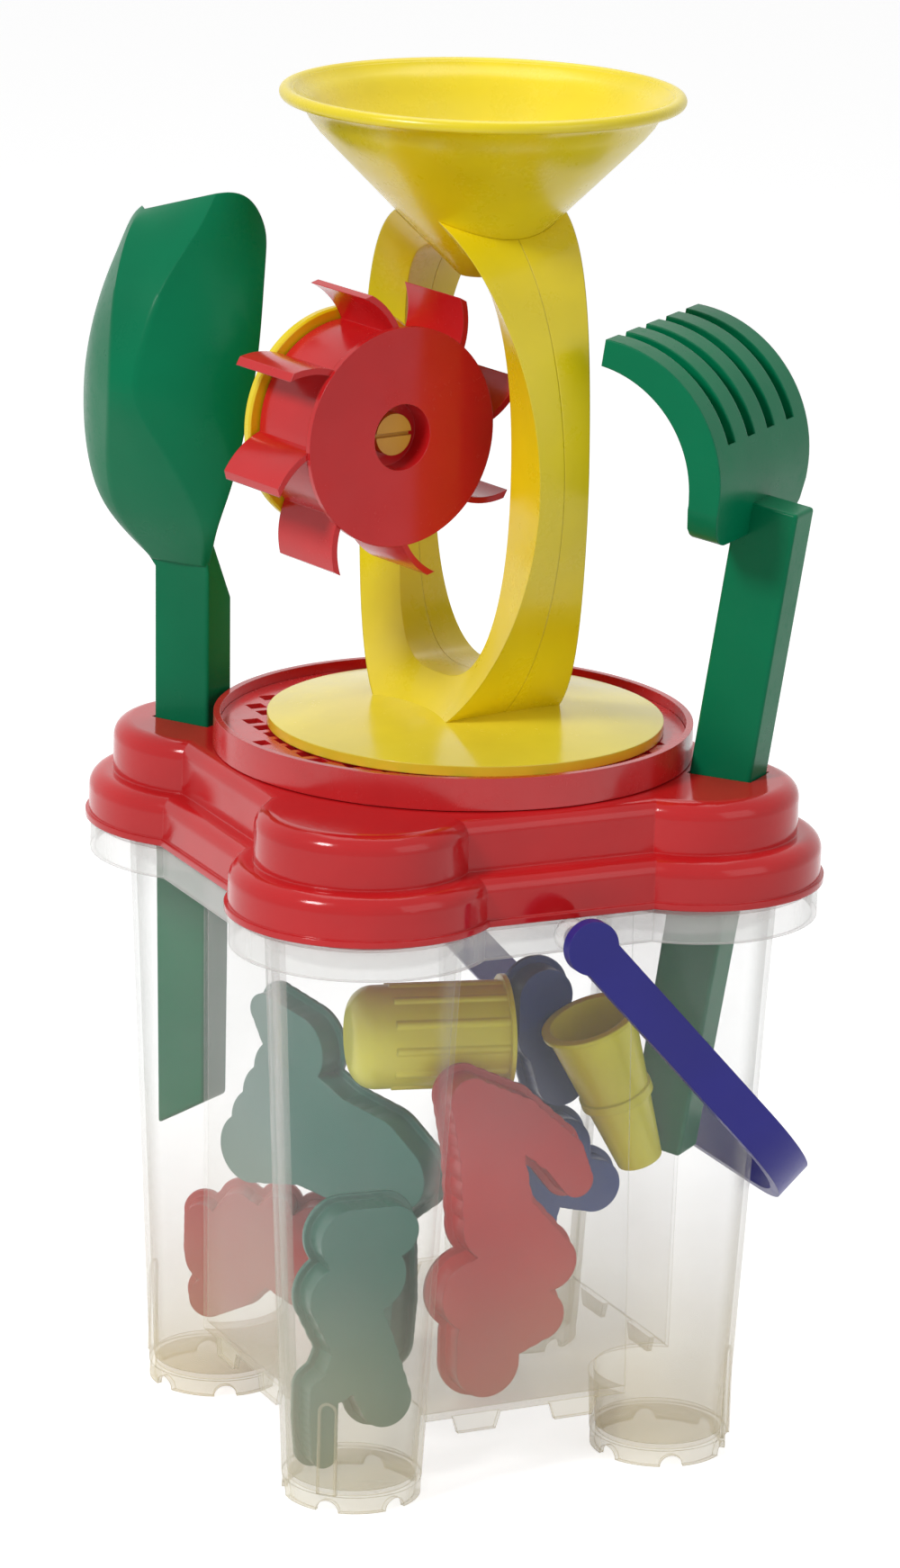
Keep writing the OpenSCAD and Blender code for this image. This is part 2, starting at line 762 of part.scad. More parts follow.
// End view of a blade: the part of a ring that lies between the drum and the tips
module blade_side() {
  intersection() {
    translate([0, blade_centre]) difference() {
      circle(r = blade_curve_r + blade_t / 2);
      circle(r = blade_curve_r - blade_t / 2);
    }
    difference() {
      circle(r = tip_r);
      circle(r = drum_r - wheel_t / 2);
    }
    translate([blade_curve_r / 3, blade_curve_r / 3]) square(tip_r);
  }
}

module wheel() {
  hub_r = recess_r + wheel_t;
  color("red") at_wheel() translate([0, 0, -wheel_w / 2]) difference() {
    union() {
      translate([0, 0, wheel_w - wheel_t]) cylinder(h = wheel_t, r = disc_r);
      difference() {
        cylinder(h = wheel_w, r = drum_r);
        translate([0, 0, -cut]) cylinder(h = wheel_w - wheel_t + cut, r = drum_r - wheel_t);
      }
      cylinder(h = wheel_w, r = hub_r);
      for (i = [0 : blade_n - 1])
        rotate([0, 0, blade_turn + i * 360 / blade_n])
          linear_extrude(height = wheel_w - wheel_t / 2) blade_side();
    }
    translate([0, 0, wheel_w - recess_d]) cylinder(h = recess_d + cut, r = recess_r);
    translate([0, 0, -cut]) cylinder(h = wheel_w + 2 * cut, r = pin_r + run_fit);
  }
}

// Shovel. The scoop bulges towards the front and opens at the back.

// Rim of the scoop: shares of its half width across and of its height above the neck,
// share of its half width for the corner radius, and how far it stands in front
rim_spots = [
  [0, 0.935, 0.12, -10], [0.55, 0.88, 0.1, -10], [0.62, 0.78, 0.2, -2], [0.78, 0.6, 0.22, 7],
  [0.78, 0.42, 0.22, 8.5], [0.66, 0.25, 0.22, 9], [0.38, 0.1, 0.12, 9.5]
];

module scoop_hull(inset, back) {
  h = scoop_top_h - shovel_neck_h;
  hull() {
    for (p = rim_spots, side = [-1, 1])
      translate([side * p[0] * scoop_w2, back - p[3], shovel_neck_h + p[1] * h])
        rotate([90, 0, 0])
          cylinder(h = scoop_t + back - inset, r = p[2] * scoop_w2 - inset, $fn = 32);
    translate([0, scoop_r - scoop_d, scoop_mid_h]) sphere(r = scoop_r - inset, $fn = 24);
  }
}

// Side view of the crank between the handle and the scoop
module neck_side() {
  high = shovel_neck_h + crank_share * grip_d;
  polygon([
    [-grip_d / 2, shovel_neck_h - grip_d], [grip_d / 2, shovel_neck_h - grip_d],
    [grip_d / 2, shovel_neck_h], [crank_out_share * scoop_d, high], [crank_in_share * scoop_d, high],
    [-grip_d / 2, shovel_neck_h - grip_d / 4]
  ]);
}

module shovel() {
  color("seagreen") at_shovel() difference() {
    union() {
      grip(lid_top - shovel_end_z, shovel_neck_h - grip_d);
      rotate([90, 0, -90]) linear_extrude(height = grip_end_w, center = true) neck_side();
      scoop_hull(0, 0);
    }
    difference() {
      scoop_hull(scoop_t, cut);
      translate([-grip_w, -grip_d / 2 - cut, 0]) cube([2 * grip_w, 2 * grip_d, shovel_neck_h + grip_d]);
    }
    // The lower end is slanted
    translate([-grip_end_w / 2, -grip_d, shovel_end_z - lid_top]) rotate([0, end_slant, 0])
      translate([-grip_w, 0, -3 * grip_d]) cube([4 * grip_w, 2 * grip_d, 3 * grip_d]);
  }
}

// Rake. The tines curl towards the mill.

module rake_side() {
  root_x = rake_in_x + rake_in_r;
  difference() {
    union() {
      translate([rake_out_x, rake_out_z]) circle(r = rake_out_r);
      translate([root_x, rake_neck_h - grip_w / 2])
        square([rake_out_x + rake_out_r - root_x, grip_w / 2 + rake_out_z - rake_neck_h]);
    }
    translate([rake_in_x, rake_in_z]) circle(r = rake_in_r);
    translate([rake_in_x - rake_in_r, rake_neck_h - grip_w / 2 - 2 * rake_out_r])
      square([2 * rake_in_r, 2 * rake_out_r + grip_w / 2]);
    translate([rake_out_x - 2 * rake_out_r, 0])
      square([2 * rake_out_r + rake_reach - cut, 2 * rake_neck_h]);
    translate([-3 * rake_out_r, rake_neck_h - grip_w / 2 - rake_out_r])
      square([6 * rake_out_r, rake_out_r]);
  }
}

module rake() {
  pitch = (rake_w + tine_gap) / tine_n;
  color("seagreen") at_rake() difference() {
    union() {
      grip(lid_top - rake_end_z, rake_neck_h);
      translate([0, rake_w / 2, 0]) rotate([90, 0, 0])
        linear_extrude(height = rake_w) rake_side();
    }
    for (i = [1 : tine_n - 1])
      translate([-4 * grip_w, -rake_w / 2 + i * pitch - tine_gap, rake_neck_h + grip_w])
        cube([5 * grip_w, tine_gap, 2 * rake_out_r]);
  }
}

// Moulds. Each is a thin shell with a flange round its open side, which faces +Y
// before it is placed.

module place(pos, turn) {
  translate(pos) rotate(turn) children();
}

// Outline from a chain of round spots in X and Z, each with its place and radius.
// More spots are put between neighbours of the chain to smooth it.
module chain(list, inset) {
  steps = 4;
  for (i = [0 : len(list) - 2], k = [0 : steps]) {
    c = list[i] * (1 - k / steps) + list[i + 1] * k / steps;
    translate([c[0], c[1]]) circle(r = c[2] - inset);
  }
}

module plate(y0, y1) {
  translate([0, y1, 0]) rotate([90, 0, 0]) linear_extrude(height = y1 - y0) children();
}

module spot_mould(list) {
  difference() {
    union() {
      plate(0, mould_d) chain(list, 0);
      plate(mould_d - mould_t, mould_d) chain(list, -mould_flange);
    }
    plate(mould_t, mould_d + cut) chain(list, mould_t);
  }
}

large_green_pos = [-42, -12, 103];
large_green_turn = -64.5;
large_green_spots = [
  [-26, 23.5, 5], [-14, 14, 11], [-31, -20, 10.5], [-12, -8.5, 18], [0, -12, 16],
  [16, -14, 15], [26, -15, 10], [12, -24, 12], [14, -40, 11], [15, -54, 10.5], [14, -66.5, 10.5]
];

module large_green_mould() {
  color("seagreen") place(large_green_pos, [0, 0, large_green_turn]) spot_mould(large_green_spots);
}

small_green_pos = [-48, -53.5, 40];
small_green_spots = [
  [8, 38, 8], [-5, 37, 9.5], [2, 25, 10.5], [-7.5, 20, 10], [0, 3.5, 9.5], [7, -13, 8],
  [0, 3.5, 9.5], [-8, -6, 5.5], [-12.5, -8, 4.5], [-12.5, -17, 4.5], [-12, -27, 4]
];

module small_green_mould() {
  color("mediumseagreen") place(small_green_pos, [0, 0, 0]) spot_mould(small_green_spots);
}

shell_pos = [-44, 38, 45.5];
shell_turn = -35;
shell_spots = [
  [-15.5, 5.5, 4.5], [-10.5, -6, 9.5], [-4.5, 9.5, 5], [3.5, -2, 10], [7.5, 9.5, 5],
  [3.5, -2, 10], [13, 0.5, 7], [18.5, 7.5, 4.5], [13, 0.5, 7], [14, -14.5, 5],
  [3.5, -2, 10], [-5, -14.5, 7.5], [-12.5, -19.5, 6]
];

module shell_mould() {
  color("crimson") place(shell_pos, [0, 0, shell_turn]) spot_mould(shell_spots);
}

hooked_pos = [0, -58.9, 66];
hooked_spots = [
  [15.5, 22.5, 5], [11, 30.5, 6.5], [-3.5, 43, 7], [-19, 51, 6.5], [-12.5, 36, 10],
  [-9, 12.5, 11.5], [7.5, -1.5, 8.5], [-2, -2, 9], [-15.5, -8.5, 11], [-2, -14, 9],
  [5, -17.5, 7.5], [-11.5, -21.5, 10], [-11.5, -30, 10]
];

module hooked_mould() {
  color("crimson") place(hooked_pos, [0, 0, 0]) spot_mould(hooked_spots);
}

tall_blue_pos = [10, -32, 58.3];
tall_blue_spots = [
  [25, 17.5, 8], [16, 20, 8], [14, 30.5, 9], [6.5, 21.5, 9], [3, 5.5, 9], [0, -11, 9],
  [-1.5, -23.5, 9]
];

module tall_blue_mould() {
  color("royalblue") place(tall_blue_pos, [0, 0, 0]) spot_mould(tall_blue_spots);
}

small_blue_pos = [17, -32, 120];
small_blue_spots = [
  [0, 15.5, 8.5], [-0.5, 4, 8], [3.5, 1.5, 9], [6, -10, 8]
];

module small_blue_mould() {
  color("royalblue") place(small_blue_pos, [0, 0, 0]) spot_mould(small_blue_spots);
}

// Round ribbed cup, along its own Z axis with the open end at z = 0
cup_pos = [2, -36.3, 128];
cup_r = 15;
cup_l = 46;
cup_ribs = 12;
cup_rib_share = 0.75;
cup_turn = [0, -90, -14];

module ribbed_cup_mould() {
  ball = cup_r / 2;
  color("yellow") place(cup_pos, cup_turn) difference() {
    union() {
      cylinder(h = cup_l - ball, r = cup_r);
      translate([0, 0, cup_l - ball]) rotate_extrude() intersection() {
        translate([cup_r - ball, 0]) circle(r = ball);
        square(cup_r);
      }
      cylinder(h = cup_l, r = cup_r - ball);
      cylinder(h = mould_t, r = cup_r + mould_flange);
      for (i = [0 : cup_ribs - 1])
        rotate([0, 0, 360 * i / cup_ribs]) translate([cup_r - mould_t / 2, 0, 0])
          cylinder(h = cup_l * cup_rib_share, r = mould_t);
    }
    translate([0, 0, -cut]) cylinder(h = cup_l - ball + cut, r = cup_r - mould_t);
    cylinder(h = cup_l - mould_t, r = cup_r - ball);
  }
}

// Stepped round tower, along its own Z axis with the open end at z = 0
keep_pos = [23.5, -47, 133];
keep_r = 13.5;
keep_l = 48;
keep_turn = [0, 158, 0];

module tower_mould() {
  tip_end_r = keep_r / 2;
  color("gold") place(keep_pos, keep_turn) difference() {
    union() {
      cylinder(h = keep_l, r1 = keep_r, r2 = tip_end_r);
      cylinder(h = mould_t, r = keep_r + mould_flange / 2);
      translate([0, 0, keep_l / 2]) cylinder(h = 2 * mould_t, r = (keep_r + tip_end_r) / 2 + mould_t / 2);
    }
    translate([0, 0, -mould_t])
      cylinder(h = keep_l, r1 = keep_r - mould_t, r2 = tip_end_r - mould_t);
  }
}

bucket();
bail();
lid();
sieve();
sieve_grid();
mill_base();
hoop_half_left();
hoop_half_right();
funnel();
axle_pin();
wheel();
shovel();
rake();
large_green_mould();
small_green_mould();
shell_mould();
hooked_mould();
ribbed_cup_mould();
tower_mould();
tall_blue_mould();
small_blue_mould();
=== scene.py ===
"""Looks of a sand wheel toy set: a clear castle bucket with sand moulds, a red lid and
sieve, a yellow sand mill with a red wheel, and a green shovel and rake."""

import json
import math

import bmesh
import bpy
from mathutils import Matrix, Vector


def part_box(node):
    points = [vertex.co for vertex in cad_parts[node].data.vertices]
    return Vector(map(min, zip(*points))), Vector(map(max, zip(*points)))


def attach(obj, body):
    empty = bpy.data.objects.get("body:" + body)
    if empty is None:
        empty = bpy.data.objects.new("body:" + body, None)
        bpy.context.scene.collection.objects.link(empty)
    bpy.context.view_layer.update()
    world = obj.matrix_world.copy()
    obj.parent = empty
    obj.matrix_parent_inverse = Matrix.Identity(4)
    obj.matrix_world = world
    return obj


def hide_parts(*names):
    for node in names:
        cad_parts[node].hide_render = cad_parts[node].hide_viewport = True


MM = 0.001

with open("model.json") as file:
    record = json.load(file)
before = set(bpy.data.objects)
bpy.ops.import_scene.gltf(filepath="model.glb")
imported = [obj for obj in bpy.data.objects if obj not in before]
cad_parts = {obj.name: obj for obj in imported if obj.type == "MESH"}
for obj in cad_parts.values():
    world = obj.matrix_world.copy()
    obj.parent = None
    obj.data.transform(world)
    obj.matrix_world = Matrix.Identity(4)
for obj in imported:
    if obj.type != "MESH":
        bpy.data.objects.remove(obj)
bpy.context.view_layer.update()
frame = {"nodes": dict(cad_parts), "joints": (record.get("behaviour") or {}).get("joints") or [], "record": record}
nodes = frame["nodes"]
joints = {joint["name"]: joint for joint in frame["joints"]}

# Camera, as fitted to the photograph, and the bounces that the clear walls need

VIEW_AZIMUTH = -25.658
VIEW_ELEVATION = 15.555
VIEW_ROLL = 1.615
VIEW_DISTANCE = 1813.8 * MM
AIM_RIGHT = -0.429 * MM
AIM_HEIGHT = 192.9 * MM
FOCAL_PIXELS = 6946.95
IMAGE_HEIGHT = 1742
SENSOR_MM = 36
CLIP_START = 0.05
CLEAR_BOUNCES = 24

# Studio: a pale floor and world, which look white without lighting the object more

FLOOR_GREY = (0.76, 0.76, 0.76)
FLOOR_HALF = 9
FLOOR_DROP = 0.2 * MM
FLOOR_LIFT = 0.7
FLOOR_ROUGHNESS = 0.9
FLOOR_SHINE = 0.1
WORLD_LIGHT = 0.31

# Each lamp's name, how far it stands towards the camera, to the right and up from the point
# it is aimed at, and its size, all in m, and its power in W
LAMPS = [
    ("key", 0.9, -0.9, 0.8, 0.34, 12.5),
    ("fill", 0.9, 1.1, 0.3, 0.9, 3),
    ("top", -0.4, 0, 1.3, 0.9, 5),
]

# Colours of the plastics, from 0 to 255, set so that the render looks like the photograph

RED = (206, 30, 34)
YELLOW = (243, 220, 16)
# The base's yellow made paler all over: a painted sheen of the white studio on its dome
BASE_YELLOW_PAINTED_SHEEN = (246, 226, 60)
GREEN = (0, 118, 78)
BLUE = (50, 48, 140)
# The pin is yellow plastic: this orange-brown is its yellow darkened as painted shade
PIN_YELLOW_PAINTED_SHADE = (205, 150, 40)
CLEAR = (240, 240, 236)
WARM_CLEAR = (244, 226, 170)
MOULD_GREEN = (0, 106, 88)
MOULD_RED = (204, 28, 32)
MOULD_YELLOW = (255, 240, 44)
MOULD_BLUE = (26, 66, 150)

# Surface detail: noise scales are per metre, and strengths and shares run from 0 to 1

BEVEL_SAMPLES = 6
SINK_SCALE = 38
SINK_STRENGTH = 0.1
SINK_DEPTH = 0.7 * MM
GRAIN_SCALE = 1400
GRAIN_STRENGTH = 0.12
GRAIN_DEPTH = 0.1 * MM
EDGE_RANGE = (0.82, 0.99)
CLOUD_SCALE = 22
CLOUD_DARK, CLOUD_PALE = 0.95, 1.04
WORN_SCALE = 260
WORN_MOST = 0.32
WORN_PALE = 0.3
SCUFF_SCALE = 520
SCUFF_MOST = 0.12
ROUGH_SCALE = 70
ROUGH_LESS, ROUGH_MORE = 0.04, 0.06
PLAIN_ROUND = 0.5 * MM
COAT_SHARE = 0.3
COAT_ROUGHNESS = 0.12

# Clear plastic: how opaque it is face on, at a slant, in the band, at the foot and at edges, where the milky white
# paints highlight lines

CLEAR_GRAIN_SCALE = 900
CLEAR_GRAIN_STRENGTH = 0.1
CLEAR_IOR = 1.49
CLEAR_BLEND = 0.32
CLEAR_FACE_ON, CLEAR_SLANT = 0.07, 0.55
CLEAR_BAND = 0.16
CLEAR_FOOT = 0.18
CLEAR_EDGE_HIGHLIGHT = 0.6
CLEAR_HAZE = 0.04
HAZE_SCALE = 18
WARM_SCALE = 14
SMEAR_SCALE = 60
CLEAR_ROUGHNESS = (0.14, 0.24)
BAND_BELOW_RIM = 10.5 * MM
BAND_FADE = 1 * MM
FOOT_SHARE = 0.45
WARM_SHARE = 0.6

# Edges of finished pieces: the angles in degrees from which they are sharp or rounded

SHARP_ANGLE = 38
TRIM_ANGLE = 30
ROUND_ANGLE = 35
ROUND_SEGMENTS = 3

# Mill, in its own frame: the wheel's axis along Y, the strap's width along X

HOOP_STATIONS = 224
HOOP_OUT_HALF = Vector((44.2, 77.1)) * MM
HOOP_IN_HALF = Vector((26.2, 62.0)) * MM
HOOP_IN_UP = 2.6 * MM
HOOP_OUT_POWER = 1.9
HOOP_IN_POWER = 3
STRAP_WIDTH = 17 * MM
STRAP_FLARE = 29 * MM
STRAP_IN_WIDTH = 11.2 * MM
STRAP_IN_FLARE = 17 * MM
PARTING_GAP = 0.1 * MM
HOOP_MID_ABOVE_SIEVE = 76.7 * MM
BASE_GAP = 0.3 * MM
DOME_COVER = 3 * MM
SLAB_RADIUS = 0.1
SLAB_DEPTH = 0.05
CONE_TOP_RADIUS = 0.06
CONE_TOP_RISE = 0.01
WHEEL_BACK = 14 * MM
GUARD_RADIUS = 32.5 * MM
GUARD_GAP = 0.8 * MM
GUARD_THICK = 3 * MM
BOSS_RADIUS = 8 * MM
BOSS_TURNS = 64
BOSS_SINK = 3.5 * MM
ARM_SHARE = 0.6
ARM_OVERLAP = 0.2 * MM
ARM_IN_LEG = 2 * MM
ARM_ROUND = 1.2 * MM
EDGE_ROUND = 0.6 * MM

# Funnel: its outline gives the radius and the depth below the rim in mm, on the outer side

FUNNEL_WALL = 2 * MM
FUNNEL_LIP = 1.9 * MM
LIP_TURNS = range(150, -61, -15)
SPOUT_BORE = 3.4 * MM
FUNNEL_OUTLINE = [
    (55.6, 1.9), (54.6, 3.2), (52.6, 4.4), (50.4, 6.4), (48.9, 9.0), (46.2, 12.3),
    (42.0, 16.6), (35.0, 23.6), (26.0, 32.6), (16.0, 42.6), (9.4, 49.2), (6.4, 52.2), (5.4, 53.0),
]
TURNS = 192

# Tools: sizes without a unit are in mm, and heights are taken before a tool leans. The
# shovel's are above the floor, and so is the rake's end; its other heights are above the lid

# The place of a tool is its point on the lid, its turn about Z and its lean, in degrees
SHOVEL_PLACE = (Vector((-58.1, 55.6, 204.1)) * MM, -58, -1)
RAKE_PLACE = (Vector((62.9, -51.8, 204.1)) * MM, -52, 8)
LID_TOP = 204.1
GRIP_HALF = 9.5
GRIP_END_HALF = 8.3
GRIP_DEEP_HALF = 6.3
CORNERS = ((-1, -1), (1, -1), (1, 1), (-1, 1))
TOOL_ROUND = 1.1 * MM
RIM_ANGLE = 50

# Shovel, in its own frame: X across, Y away from the scoop's back, Z along the handle

SHOVEL_WALL = 2 * MM
SHOVEL_END = 79
SHOVEL_END_RISE = 9.6

# One row for each height of the scoop, from the lip to the neck. Each point is the half
# width, the way from the handle's axis towards the back and the height, and the points are
# the middle, the ridge, two on the side and the rim
SCOOP_ROWS = [
    [(0, 6, 361.5), (12.5, 7, 361.5), (15.5, 4, 362), (18, 0, 360.8), (19.5, -4, 357)],
    [(0, 14, 353), (11.8, 13.4, 352.7), (16.5, 8, 353), (20, 1, 352), (21.5, -6, 350)],
    [(0, 21.2, 345.8), (10.3, 20.6, 345.8), (17, 13, 345.5), (22, 4, 344.5), (23.3, -3, 344)],
    [(0, 29.8, 334), (7.3, 29.6, 334), (17.5, 20, 334.5), (24.5, 9, 335.5), (26, 2, 337)],
    [(0, 33.8, 321.5), (5.3, 33.5, 321.5), (18.5, 25, 321), (27, 14, 320.5), (29.2, 8.5, 320)],
    [(0, 37.9, 307), (2.8, 37.6, 307), (18, 28.5, 306), (27, 18, 305), (29.3, 13, 304)],
    [(0, 30.6, 292), (9.3, 30, 292), (18, 25.5, 291), (25.5, 19.5, 290.5), (27.6, 15.8, 290)],
    [(0, 24.8, 280), (13.7, 24.2, 280), (19, 21.5, 278.5), (23.5, 18.5, 278), (25, 16.8, 278)],
    [(0, 18.3, 267), (16.3, 17.6, 267), (17.5, 17.2, 266.5), (18.6, 16.9, 266.3),
     (19.5, 16.5, 266)],
    [(0, 8.2, 252), (9.4, 7.6, 252), (9.5, 6.8, 251.5), (9.6, 6.2, 251.3), (9.7, 5.6, 251)],
]
RIDGE_COLUMN = 1
SCOOP_LEVELS = 3
# How much lower the lip is on the side of minus X
LIP_SLANT = 7

# Sections of the neck, from the lid up: the height on the side of the scoop's back and on
# the far side, the half width, and how far towards the back each of the two sides lies
SHOVEL_NECK = [
    (204.1, 204.1, 9.5, 6.3, -6.3), (250, 240, 9.5, 6.3, -6.3), (262, 262, 13.2, 13.3, 9.5),
]

# Rake, in its own frame: X away from the mill, Y across, Z along the handle. The head's
# outer and inner skins are arcs, given by the centre's X and Z and the radius

RAKE_WIDTH = 62
TINES = 5
TINE_GAP = 5
TINE_COLUMNS = 5
RAKE_OUT = (-43.5, 83.9, 39.2)
RAKE_IN = (-47.6, 81.1, 34.1)
RAKE_TIP_X = -46.5
RAKE_LOW = 72
RAKE_CORNER = 10
RAKE_STRAIGHT_STEPS = 4
RAKE_ARC_STEPS = 26
# The slots between the tines start at this step of the side's line
RAKE_SLOT_STEP = 11
RAKE_HANDLE_TOP = 81.5
RAKE_END = 88

# Bucket, in mm: where its towers stand, the raised loophole at the foot of each, and the milky bead that paints a
# highlight round it

TOWER_AT = 49.5
LOOP_WIDTH = 6
LOOP_FACE = 20.8
LOOP_LOW = 5.5
LOOP_HIGH = 33.5
LOOP_BEAD = 0.45
BEAD_SIDES = 10
BEAD_STEP = 15


def linear(colour):
    """A colour from 0 to 255, as the shader takes it."""

    def channel(value):
        share = value / 255
        return share / 12.92 if share <= 0.04045 else ((share + 0.055) / 1.055) ** 2.4

    return (*[channel(value) for value in colour], 1)


def scaled(colour, factor):
    """A colour made darker or paler by a factor."""
    return tuple(min(255, value * factor) for value in colour)


# Materials


class Nodes:
    """Short calls to put shader nodes in a material and link them."""

    def __init__(self, material):
        self.tree = material.node_tree
        self.shader = self.tree.nodes["Principled BSDF"]
        self.place = self.add("ShaderNodeTexCoord").outputs["Object"]

    def add(self, kind, **inputs):
        """New node with its inputs set, where an underscore in a name stands for a space."""
        node = self.tree.nodes.new(kind)
        for name, value in inputs.items():
            self.put(node.inputs[name.replace("_", " ")], value)
        return node

    def put(self, socket, value):
        """Links an output to a socket, or writes a value there."""
        if isinstance(value, bpy.types.NodeSocket):
            self.tree.links.new(value, socket)
        else:
            socket.default_value = value

    def noise(self, scale, detail=3.0, roughness=0.5):
        """Noise of a scale in object space, from 0 to 1."""
        kind = "ShaderNodeTexNoise"
        node = self.add(kind, Vector=self.place, Scale=scale, Detail=detail, Roughness=roughness)
        return node.outputs["Fac"]

    def spread(self, value, low, high, start=0.3, end=0.7):
        """Maps start to low and end to high, and holds these beyond."""
        node = self.add("ShaderNodeMapRange", Value=value)
        self.put(node.inputs["From Min"], start)
        self.put(node.inputs["From Max"], end)
        self.put(node.inputs["To Min"], low)
        self.put(node.inputs["To Max"], high)
        return node.outputs["Result"]

    def blend(self, factor, first, second):
        """Mixes two colours."""
        node = self.tree.nodes.new("ShaderNodeMix")
        node.data_type = "RGBA"
        self.put(node.inputs[0], factor)
        self.put(node.inputs[6], first)
        self.put(node.inputs[7], second)
        return node.outputs[2]

    def math(self, operation, first, second):
        """Sum or product held between 0 and 1."""
        node = self.tree.nodes.new("ShaderNodeMath")
        node.operation = operation
        node.use_clamp = True
        self.put(node.inputs[0], first)
        self.put(node.inputs[1], second)
        return node.outputs[0]


def surface(nodes_of, round_radius, grain, grain_strength):
    """Rounded edges, slow sink marks and a fine moulding grain, as one normal."""
    soft = nodes_of.add("ShaderNodeBevel", Radius=round_radius)
    soft.samples = BEVEL_SAMPLES
    normal = soft.outputs["Normal"]
    for height, strength, depth in (
        (nodes_of.noise(SINK_SCALE, 1), SINK_STRENGTH, SINK_DEPTH),
        (nodes_of.noise(grain, 4), grain_strength, GRAIN_DEPTH),
    ):
        bump = nodes_of.add(
            "ShaderNodeBump", Height=height, Normal=normal, Strength=strength, Distance=depth
        )
        normal = bump.outputs["Normal"]
    return soft, normal


def sharpness(nodes_of, soft):
    """How far the rounded normal turns from the true one: 1 on flat faces, less by an edge."""
    geometry = nodes_of.add("ShaderNodeNewGeometry")
    facing = nodes_of.add("ShaderNodeVectorMath")
    facing.operation = "DOT_PRODUCT"
    nodes_of.put(facing.inputs[0], soft.outputs["Normal"])
    nodes_of.put(facing.inputs[1], geometry.outputs["Normal"])
    return facing.outputs["Value"]


def moulded(name, colour, roughness, edge=PLAIN_ROUND, shine=0.5):
    """Moulded plastic: cloudy tone, handling scuffs, paler worn edges and rounded corners."""
    material = bpy.data.materials.new(name)
    material.use_nodes = True
    net = Nodes(material)
    soft, normal = surface(net, edge, GRAIN_SCALE, GRAIN_STRENGTH)
    cloud = net.blend(
        net.spread(net.noise(CLOUD_SCALE, 4), 0, 1),
        linear(scaled(colour, CLOUD_DARK)),
        linear(scaled(colour, CLOUD_PALE)),
    )
    edges = net.spread(sharpness(net, soft), WORN_MOST, 0, *EDGE_RANGE)
    worn = net.math("MULTIPLY", edges, net.spread(net.noise(WORN_SCALE, 5), 0.2, 1))
    pale = tuple(value + (255 - value) * WORN_PALE for value in colour)
    net.put(net.shader.inputs["Base Color"], net.blend(worn, cloud, linear(pale)))
    scuffs = net.spread(net.noise(SCUFF_SCALE, 6, 0.7), 0, SCUFF_MOST, 0.5, 0.75)
    uneven = net.spread(net.noise(ROUGH_SCALE, 3), roughness - ROUGH_LESS, roughness + ROUGH_MORE)
    net.put(net.shader.inputs["Roughness"], net.math("ADD", uneven, scuffs))
    net.put(net.shader.inputs["Normal"], normal)
    net.put(net.shader.inputs["Specular IOR Level"], shine)
    net.put(net.shader.inputs["Coat Weight"], COAT_SHARE * shine)
    net.put(net.shader.inputs["Coat Roughness"], COAT_ROUGHNESS)
    return material


def clear_plastic():
    """Clear bucket: walls milky at a slant, milky white at edges as painted highlight lines, and warmer towards
    the foot.
    """
    material = bpy.data.materials.new("clear_bucket")
    material.use_nodes = True
    net = Nodes(material)
    soft, normal = surface(net, PLAIN_ROUND, CLEAR_GRAIN_SCALE, CLEAR_GRAIN_STRENGTH)
    height = net.add("ShaderNodeSeparateXYZ", Vector=net.place).outputs["Z"]
    low, high = (corner.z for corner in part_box("bucket"))
    warmth = net.spread(height, 1, 0, low, low + WARM_SHARE * (high - low))
    warmth = net.math("MULTIPLY", warmth, net.spread(net.noise(WARM_SCALE, 3), 0.5, 1))
    net.put(net.shader.inputs["Base Color"], net.blend(warmth, linear(CLEAR), linear(WARM_CLEAR)))
    slant = net.add("ShaderNodeLayerWeight", Blend=CLEAR_BLEND)
    band_low = high - BAND_BELOW_RIM
    alpha = net.spread(slant.outputs["Facing"], CLEAR_FACE_ON, CLEAR_SLANT, 0.3, 1)
    for more in (
        net.spread(height, 0, CLEAR_BAND, band_low, band_low + BAND_FADE),
        net.spread(net.noise(HAZE_SCALE, 4), 0, CLEAR_HAZE),
        net.spread(height, CLEAR_FOOT, 0, low, low + FOOT_SHARE * (high - low)),
        # Edges made milky white: painted highlight lines along the towers' edges
        net.spread(sharpness(net, soft), CLEAR_EDGE_HIGHLIGHT, 0, *EDGE_RANGE),
    ):
        alpha = net.math("ADD", alpha, more)
    net.put(net.shader.inputs["Alpha"], alpha)
    smears = net.spread(net.noise(SMEAR_SCALE, 3), *CLEAR_ROUGHNESS)
    net.put(net.shader.inputs["Roughness"], smears)
    net.put(net.shader.inputs["Normal"], normal)
    net.put(net.shader.inputs["IOR"], CLEAR_IOR)
    return material


